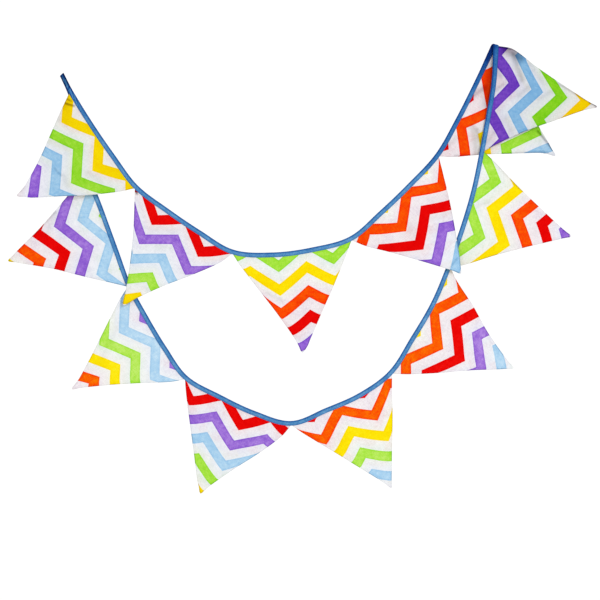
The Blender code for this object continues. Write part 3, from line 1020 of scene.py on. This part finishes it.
class HungPennant:
    """The smooth shape in which one pennant hangs from the binding."""

    def __init__(self, row, side, line):
        self.line = line
        edges = EDGES[row.name]
        self.start_bow, self.end_bow = edges[:5], edges[5:]
        start, end = line.spans[row.name]
        self.first = start + JUNCTION_GAP
        self.last = end - JUNCTION_GAP
        self.mouth = BINDING_WIDTH / 2 - MOUTH_INSET
        self.seat = HEAD_ROOM - BINDING_WIDTH / 2
        self.tip = Vector((row.tip_x, row.tip_y, row.tip_z))
        corners = [held.point + held.across * self.mouth for held in map(self.top_edge, (0.0, 1.0))]
        self.start_out = across(self.tip - corners[0], side)
        self.end_out = -across(self.tip - corners[1], side)

    def top_edge(self, sideways):
        return self.line.at(self.first + (self.last - self.first) * sideways)

    def place(self, sideways, down):
        """The point that is sideways along the top edge, and down from 0 there to 1 at the tip."""
        held = self.top_edge(sideways)
        if down < 0:
            return held.point + held.across * (self.mouth + (self.mouth - self.seat) * down)
        top = held.point + held.across * self.mouth
        point = top.lerp(self.tip, down)
        point += self.start_out * bow(down, self.start_bow) * (1 - sideways)
        point += self.end_out * bow(down, self.end_bow) * sideways
        wider = (self.end_out - self.start_out) * (sideways - 0.5)
        point += wider * TIP_BLUNT * smooth(TIP_BLUNT_FROM, 1, down)
        point.y = top.y + (self.tip.y - top.y) * down**2
        return point

    def rim_out(self, sideways):
        """The way out of the cloth at its free edges."""
        return self.start_out if sideways < 0.5 else self.end_out


def flat_place(sideways, down):
    """The flat place of a point of the lattice, (aside, below), in millimetres."""
    if down < 0:
        return PENNANT_WIDE * (sideways - 0.5), TONGUE_DEEP * down
    return PENNANT_WIDE * (sideways - 0.5) * (1 - down), PENNANT_DEEP * down


def edge_distance(sideways, down):
    """How far a point is from the nearer free edge, in millimetres."""
    full = PENNANT_WIDE * PENNANT_DEEP / PENNANT_SIDE * (1 - max(down, 0.0))
    return full * min(sideways, 1 - sideways)


def crease_share(crease, aside, below):
    """How much of a crease a flat place has: 1 along its middle, fading to the sides and the ends."""
    start = Vector((crease.aside_1, crease.below_1))
    way = Vector((crease.aside_2, crease.below_2)) - start
    offset = Vector((aside, below)) - start
    share = offset.dot(way) / way.length_squared
    gap = (offset - way * min(max(share, 0.0), 1.0)).length
    return math.exp(-((gap / crease.width) ** 2))


def relief(name, number, sideways, down, cloth):
    """How far the cloth stands towards the viewer from its smooth shape, in millimetres."""
    aside, below = flat_place(sideways, down)
    if down <= 0:
        return 0.0
    swell = Vector((aside / SWELL_WIDE, below / SWELL_LONG, number * SWELL_APART))
    ripple = Vector((aside / RIPPLE_WIDE, below / RIPPLE_LONG, number * RIPPLE_APART + RIPPLE_START))
    waves = noise.noise(swell) + RIPPLE_SHARE * noise.noise(ripple)
    drift = Vector((below / SEAM_PUCKER_DRIFT_LONG, number, aside / SEAM_PUCKER_DRIFT_WIDE))
    pucker = math.sin(below / SEAM_PUCKER + SEAM_PUCKER_DRIFT * noise.noise(drift))
    pucker *= math.exp(-edge_distance(sideways, down) / SEAM_PUCKER_REACH)
    height = (cloth.wave_depth * waves + cloth.pucker_depth * pucker) / MM
    height += sum(crease.rise * crease_share(crease, aside, below) for crease in CREASES[name])
    return height * smooth(0.0, FLAT_BY_BINDING, below)


def shade_at(name, sideways, down):
    """The painted shade that the creases put on the cloth there."""
    spot = flat_place(sideways, down)
    return sum(crease.shade * crease_share(crease, *spot) for crease in CREASES[name])


def half_thickness(sideways, down, allowance):
    """Half the doubled cloth: fuller where the seam allowance is turned in and in the binding."""
    seam = smooth(allowance + SEAM_EASE, allowance, edge_distance(sideways, down))
    held = smooth(HELD_EASE, 0.0, down * PENNANT_DEEP)
    return BODY_HALF + (RIM_HALF - BODY_HALF) * max(seam, held)


def triangle_lattice(bm, marks):
    """A flat triangle cut into even small ones, each point marked with (sideways, down, layer)."""
    corners = bmesh.ops.create_circle(bm, segments=3, radius=1.0, cap_ends=True)["verts"]
    corners = [vert.co.copy() for vert in corners]
    bmesh.ops.subdivide_edges(bm, edges=bm.edges[:], cuts=PENNANT_DIVISIONS - 1, use_grid_fill=True)
    for vert in bm.verts:
        start, end, tip = ((1 + 2 * vert.co.dot(corner)) / 3 for corner in corners)
        base = start + end
        vert[marks] = (end / base if base > NEARLY_NONE else 0.5, tip, FAR_LAYER)


def add_tongue(bm, marks):
    """The strip along a pennant's top that the binding holds, marked with down below 0."""
    edges = [e for e in bm.edges if all(abs(vert[marks].y) < NEARLY_NONE for vert in e.verts)]
    for step in range(1, TONGUE_CUTS + 1):
        fresh = set(new_verts(bmesh.ops.extrude_edge_only(bm, edges=edges)["geom"]))
        for vert in fresh:
            vert[marks] = (vert[marks].x, -step / TONGUE_CUTS, FAR_LAYER)
        edges = [edge for edge in bm.edges if fresh.issuperset(edge.verts)]


def double_cloth(bm, marks):
    """The second layer, joined to the first all round by a rim of several rows."""
    layer = bm.verts[:] + bm.edges[:] + bm.faces[:]
    grown = bmesh.ops.extrude_face_region(bm, geom=layer, use_keep_orig=True)
    for vert in new_verts(grown["geom"]):
        vert[marks] = (vert[marks].x, vert[marks].y, NEAR_LAYER)
    rim = [e for e in bm.edges if abs(e.verts[0][marks].z - e.verts[1][marks].z) > 1]
    bmesh.ops.subdivide_edges(bm, edges=rim, cuts=RIM_CUTS)


def cut_place(name, aside, below, settings):
    """The place on the printed cotton that a place on the near layer was cut from."""
    cut, drift = CUTS[name], DRIFTS[name]
    aa, ab, bb = (value / DECIMETRE**2 for value in (aside**2, aside * below, below**2))
    first = STRIPES.index(cut.stripe) * settings.stripe_repeat / MM
    u = cut.wide * aside + cut.lean * below + cut.shift
    u += drift.aside_aa * aa + drift.aside_ab * ab + drift.aside_bb * bb
    v = cut.tilt * aside + cut.deep * below - cut.start
    v += drift.below_aa * aa + drift.below_ab * ab + drift.below_bb * bb
    v += drift.tip * (max(below / PENNANT_DEEP - TIP_CUT_FROM, 0.0) / (1 - TIP_CUT_FROM)) ** 2
    for pull in (row for row in PULLS if row.pennant == name):
        away = math.hypot(aside - pull.aside, below - pull.below) / PULL_REACH
        v += pull.pull * math.exp(-(away**2))
    if cut.order > 0:
        return u, v + first
    whole = (settings.stripe_width + settings.zigzag_depth) / MM
    return settings.zigzag_length / MM / 2 - u, first + whole - v


def map_pennant(bm, marks, name, number, settings):
    """Two UV maps in metres: the cloth of the layer itself, and of the layer behind it."""
    cloth = bm.loops.layers.uv.new("cloth")
    behind = bm.loops.layers.uv.new("behind")
    for face in bm.faces:
        layer = sum(vert[marks].z for vert in face.verts) / len(face.verts)
        for loop in face.loops:
            aside, below = flat_place(*loop.vert[marks].xy)
            near = Vector(cut_place(name, aside, below, settings)) * MM
            far = Vector((FAR_ASIDE * number - aside, FAR_BELOW * number + below)) * MM
            loop[cloth].uv, loop[behind].uv = (near, far) if layer >= 0 else (far, near)


def sew_pennant(row, side, number, line, settings, cloth, material):
    """One pennant, cut, sewn and hung in place of its solid."""
    hung = HungPennant(row, side, line)
    allowance = cloth.seam_allowance / MM
    bm = bmesh.new()
    marks = bm.verts.layers.float_vector.new("marks")
    edges = bm.verts.layers.float.new("edge")
    tones = bm.verts.layers.float.new("tone")
    shades = bm.verts.layers.float.new("shade")
    triangle_lattice(bm, marks)
    add_tongue(bm, marks)
    double_cloth(bm, marks)
    for vert in bm.verts:
        sideways, down, layer = vert[marks]
        vert[edges] = edge_distance(sideways, down) * MM
        # the pennant's painted shade: its tone and shade from CUTS, and the creases' painted shade
        vert[tones] = CUTS[row.name].tone
        vert[shades] = CUTS[row.name].shade + shade_at(row.name, sideways, down)
        half = half_thickness(sideways, down, allowance)
        point = hung.place(sideways, down)
        on_rim = edge_distance(sideways, down) < NEARLY_NONE * PENNANT_WIDE
        lean = math.radians(90) * layer
        if on_rim and down >= 0:
            point -= hung.rim_out(sideways) * half * (1 - math.cos(lean))
        height = half * (math.sin(lean) if on_rim else layer)
        point += VIEWER * (height + relief(row.name, number, sideways, down, cloth))
        vert.co = point * MM
    map_pennant(bm, marks, row.name, number, settings)
    bm.verts.layers.float_vector.remove(marks)
    piece = finish_piece(row.name.replace("pennant", "sewn_pennant"), bm, material)
    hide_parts(row.name)
    return piece


# ---- Binding


def arc(centre_across, centre_out, wide, high, start, end):
    """Places on a quarter turn, between two angles in degrees."""
    places = []
    for step in range(ARC_STEPS + 1):
        angle = math.radians(start + (end - start) * step / ARC_STEPS)
        places.append((centre_across + wide * math.cos(angle), centre_out + high * math.sin(angle)))
    return places


def binding_outline(half_gap, pucker):
    """The folded tape seen along its length, as (across, out) pairs round its edge."""
    top = -BINDING_WIDTH / 2
    mouth = BINDING_WIDTH / 2
    outer = half_gap + LEAF_THICK
    line = mouth - STITCH_INSET
    half = arc(top + outer, 0.0, outer, outer, 180, 90)[1:]
    for step in range(1, FACE_STEPS):
        wide = top + outer + (mouth - LIP_ROUND - top - outer) * step / FACE_STEPS
        dip = math.exp(-(((wide - line) / STITCH_DIP_WIDTH) ** 2))
        crown = math.sin(math.pi * step / FACE_STEPS)
        half.append((wide, outer - (STITCH_DIP + pucker) * dip + (FACE_CROWN + pucker) * crown))
    half += arc(mouth - LIP_ROUND, outer - LIP_ROUND, LIP_ROUND, LIP_ROUND, 90, 0)
    half.append((mouth, half_gap))
    half.append((top + HEAD_ROOM / 2, half_gap))
    return [(top, 0.0)] + half + [(wide, -thick) for wide, thick in reversed(half)]


def pucker_at(distance):
    """How far the sewing has drawn the binding up at a distance along it, in millimetres."""
    drift = PUCKER_DRIFT * noise.noise(Vector((distance / PUCKER_DRIFT_LENGTH, PUCKER_ROW, 0.0)))
    return PUCKER_DEPTH * math.sin(2 * math.pi * distance / PUCKER_LENGTH + drift)


def cut_slant(wide, distance):
    """How much further along the slanting cut puts a point near the binding's first end."""
    return END_SLANT * wide * max(1 - distance / END_SLANT_LENGTH, 0.0)


def tape_piece(name, rings, material):
    """A piece of tape through rings of (point, mark) pairs, mapped by its marks."""
    bm = bmesh.new()
    marks = bm.verts.layers.float_vector.new("marks")
    sweep(bm, rings, marks)
    map_marks(bm, marks, "tape")
    bm.verts.layers.float_vector.remove(marks)
    piece = finish_piece(name, bm, material)
    return piece


def fold_binding(line, material):
    """The tape folded over the pennants' top edges, from end to end."""
    rings = []
    for section, distance in zip(line.sections, line.reached):
        ring = []
        for wide, thick in binding_outline(line.half_gap(distance), pucker_at(distance)):
            point = section.point + section.across * wide * line.spread(distance) + section.out * thick
            point += section.along * cut_slant(wide, distance)
            ring.append((point * MM, (distance, wide + BINDING_WIDTH / 2, 0.0)))
        rings.append(ring)
    piece = tape_piece("folded_binding", rings, material)
    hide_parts("binding")
    return piece


def turn_end(line, material):
    """The first few centimetres of the binding, turned back over its front and sewn down."""
    face = BARE_GAP + LEAF_THICK + TURNED_HALF + STITCH_RISE
    half_wide = TURNED_WIDTH / 2
    outline = arc(half_wide - TURNED_HALF, 0.0, TURNED_HALF, TURNED_HALF, 90, -90)
    outline += [(-wide, -thick) for wide, thick in outline]
    rings = []
    for step in range(TURNED_STEPS + 1):
        share = step / TURNED_STEPS
        ring = []
        for wide, thick in outline:
            rounded = TURNED_ROUND * (1 - share) ** 4 * math.cos(math.pi / 2 * wide / half_wide)
            distance = (TURNED_LENGTH + TURNED_SLANT * wide) * share - rounded
            section = line.at(distance)
            point = section.point + section.across * wide - section.out * (face + thick)
            point += section.along * cut_slant(wide, max(distance, 0.0))
            ring.append((point * MM, (distance + TURNED_UNDER, wide + BINDING_WIDTH / 2, 0.0)))
        rings.append(ring)
    return tape_piece("turned_end", rings, material)


def stitch_shape():
    """One stitch as a round grain of unit size."""
    bm = bmesh.new()
    bmesh.ops.create_uvsphere(bm, u_segments=STITCH_ROUND, v_segments=STITCH_ALONG, radius=1.0)
    return to_mesh("stitch", bm)


def stitch_binding(line, pitch, material):
    """Every stitch along the binding's open edge, on both of its faces."""
    shape = stitch_shape()
    size = Matrix.Diagonal((pitch * STITCH_SHARE, STITCH_WIDE, STITCH_HIGH, 1.0))
    bm = bmesh.new()
    for step in range(1, int(line.length / pitch)):
        distance = step * pitch
        section = line.at(distance)
        turn = Matrix((section.along, section.across, section.out)).transposed().to_4x4()
        outer = line.half_gap(distance) + LEAF_THICK - STITCH_DIP + STITCH_RISE
        middle = section.point + section.across * (BINDING_WIDTH / 2 - STITCH_INSET)
        for face in (1, -1):
            stitch = shape.copy()
            spot = Matrix.Translation(middle + section.out * face * outer)
            stitch.transform(Matrix.Scale(MM, 4) @ spot @ turn @ size)
            bm.from_mesh(stitch)
            bpy.data.meshes.remove(stitch)
    bpy.data.meshes.remove(shape)
    piece = finish_piece("binding_stitches", bm, material)
    return piece


# ---- Studio


def photo_middle():
    """The point of the hanging plane that the middle of the photograph shows, in metres."""
    x = (PHOTO_SIDE / 2 - HANGING_PIXEL[0]) * MM_PER_PIXEL * MM
    z = (HANGING_PIXEL[1] - PHOTO_SIDE / 2) * MM_PER_PIXEL * MM
    return Vector((x, 0.0, z))


def add_camera():
    """A camera straight in front, that shows a photograph's width of the hanging plane."""
    data = bpy.data.cameras.new("camera")
    data.sensor_width = SENSOR_WIDTH
    data.lens = SENSOR_WIDTH * CAMERA_DISTANCE / (PHOTO_SIDE * MM_PER_PIXEL * MM)
    data.clip_end = CAMERA_REACH
    camera = add_object("camera", data)
    camera.location = photo_middle() + VIEWER * CAMERA_DISTANCE
    camera.rotation_euler = (math.radians(90), 0.0, 0.0)
    bpy.context.scene.camera = camera


def add_lamp(row, power):
    """A square soft lamp that faces the middle of the bunting."""
    data = bpy.data.lights.new(row.name, "AREA")
    data.size = row.size
    data.energy = power
    lamp = add_object(row.name, data)
    offset = place(row)
    lamp.location = photo_middle() + offset
    lamp.rotation_mode = "QUATERNION"
    lamp.rotation_quaternion = offset.to_track_quat("Z", "Y")


def add_room(strength):
    """An even white room that lights the cloth softly and stays white behind it."""
    world = bpy.data.worlds.new("white_room")
    bpy.context.scene.world = world
    world.use_nodes = True
    tree = world.node_tree
    seen = wire(tree, "LightPath")["Is Camera Ray"]
    power = calc(tree, "MULTIPLY_ADD", seen, WHITE_BEHIND - strength, strength)
    background = tree.nodes["Background"]
    background.inputs["Color"].default_value = (1.0, 1.0, 1.0, 1.0)
    tree.links.new(power, background.inputs["Strength"])


def add_floor(settings):
    """A round pale floor under the bunting."""
    middle = photo_middle()
    bm = bmesh.new()
    bmesh.ops.create_circle(bm, segments=FLOOR_SEGMENTS, radius=FLOOR_RADIUS, cap_ends=True)
    bmesh.ops.translate(bm, verts=bm.verts[:], vec=(middle.x, middle.y, -FLOOR_BELOW))
    mesh = to_mesh("floor", bm)
    mesh.materials.append(pale_floor(settings))
    floor = add_object("floor", mesh)


# ---- Operators and panel


class BUNTING_OT_pennants(bpy.types.Operator):
    """Sew the twelve pennants and hang them from the binding's line"""

    bl_idname = "bunting.pennants"
    bl_label = "Sew Pennants"

    def execute(self, context):
        scene = context.scene
        line = BindingLine()
        material = printed_cotton(scene.bunting_print, scene.bunting_cloth)
        rows = [(row, UPPER_SIDE) for row in UPPER] + [(row, LOWER_SIDE) for row in LOWER]
        for number, (row, side) in enumerate(rows, 1):
            sew_pennant(row, side, number, line, scene.bunting_print, scene.bunting_cloth, material)
        return {"FINISHED"}


class BUNTING_OT_binding(bpy.types.Operator):
    """Fold the blue binding over the pennants, turn its end back and stitch it closed"""

    bl_idname = "bunting.binding"
    bl_label = "Fold and Stitch Binding"

    def execute(self, context):
        binding = context.scene.bunting_binding
        line = BindingLine()
        cotton = folded_cotton(binding, context.scene.bunting_cloth, line)
        tape = fold_binding(line, cotton)
        end = turn_end(line, cotton)
        stitches = stitch_binding(line, binding.stitch / MM, sewing_thread(binding))
        return {"FINISHED"}


class BUNTING_OT_studio(bpy.types.Operator):
    """Set up the camera, the white room, the soft lamps and the pale floor"""

    bl_idname = "bunting.studio"
    bl_label = "Set Up Studio"

    def execute(self, context):
        settings = context.scene.bunting_studio
        context.scene.view_settings.view_transform = "Standard"
        add_camera()
        add_room(settings.room)
        for row in LAMPS:
            add_lamp(row, getattr(settings, row.power))
        add_floor(settings)
        return {"FINISHED"}


class BUNTING_PT_sidebar(bpy.types.Panel):
    """Make the bunting piece by piece"""

    bl_label = "Cotton Bunting"
    bl_space_type = "VIEW_3D"
    bl_region_type = "UI"
    bl_category = "Bunting"

    def draw(self, context):
        for operator, group in STEPS:
            box = self.layout.box()
            settings = getattr(context.scene, group)
            for name in settings.bl_rna.properties.keys():
                if name not in {"rna_type", "name"}:
                    box.prop(settings, name)
            box.operator(operator.bl_idname)


STEPS = [
    (BUNTING_OT_pennants, "bunting_print"),
    (BUNTING_OT_binding, "bunting_binding"),
    (BUNTING_OT_studio, "bunting_studio"),
]
SETTINGS = {
    "bunting_print": PrintSettings,
    "bunting_cloth": ClothSettings,
    "bunting_binding": BindingSettings,
    "bunting_studio": StudioSettings,
}
CLASSES = [*SETTINGS.values(), *(operator for operator, group in STEPS), BUNTING_PT_sidebar]


def register():
    for item in CLASSES:
        bpy.utils.register_class(item)
    for name, kind in SETTINGS.items():
        setattr(bpy.types.Scene, name, PointerProperty(type=kind))


def unregister():
    for name in SETTINGS:
        delattr(bpy.types.Scene, name)
    for item in reversed(CLASSES):
        bpy.utils.unregister_class(item)


def main():
    register()
    bpy.ops.bunting.pennants()
    bpy.ops.bunting.binding()
    bpy.ops.bunting.studio()


if __name__ == "__main__":
    main()
